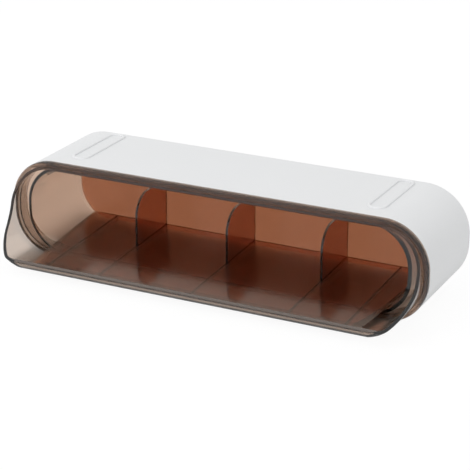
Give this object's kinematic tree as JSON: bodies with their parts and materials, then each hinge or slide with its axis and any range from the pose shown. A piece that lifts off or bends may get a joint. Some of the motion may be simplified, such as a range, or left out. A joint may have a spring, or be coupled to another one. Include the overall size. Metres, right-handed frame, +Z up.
{
  "type": "rolling egg dispenser",
  "caption": "Long low egg keeper for a fridge shelf: a white sleeve with rounded ends, open in front, holding a smoke tinted pull-out drawer with a sloped ramp and lane fins",
  "frame": {"origin": "centre of the footprint, on the surface that the feet stand on", "axes": "+X along the width, to the right for someone in front; +Y to the back; +Z up; the open front faces -Y"},
  "size_m": [0.308, 0.1144, 0.0725],
  "materials": {
    "white_shell": "satin",
    "smoke_clear": "polished",
    "smoke_ramp": "polished",
    "foot_rubber": "matte"
  },
  "bodies": {
    "case": {"outer_case": "white_shell", "foot_front_left": "foot_rubber", "foot_front_right": "foot_rubber", "foot_rear_left": "foot_rubber", "foot_rear_right": "foot_rubber"},
    "drawer": {"drawer_shell": "smoke_clear", "rolling_ramp": "smoke_ramp"}
  },
  "joints": [
    {"name": "drawer_slide", "type": "slide", "parent": "case", "child": "drawer", "axis": [0, -1, 0], "range_m": [0, 0.057]}
  ]
}
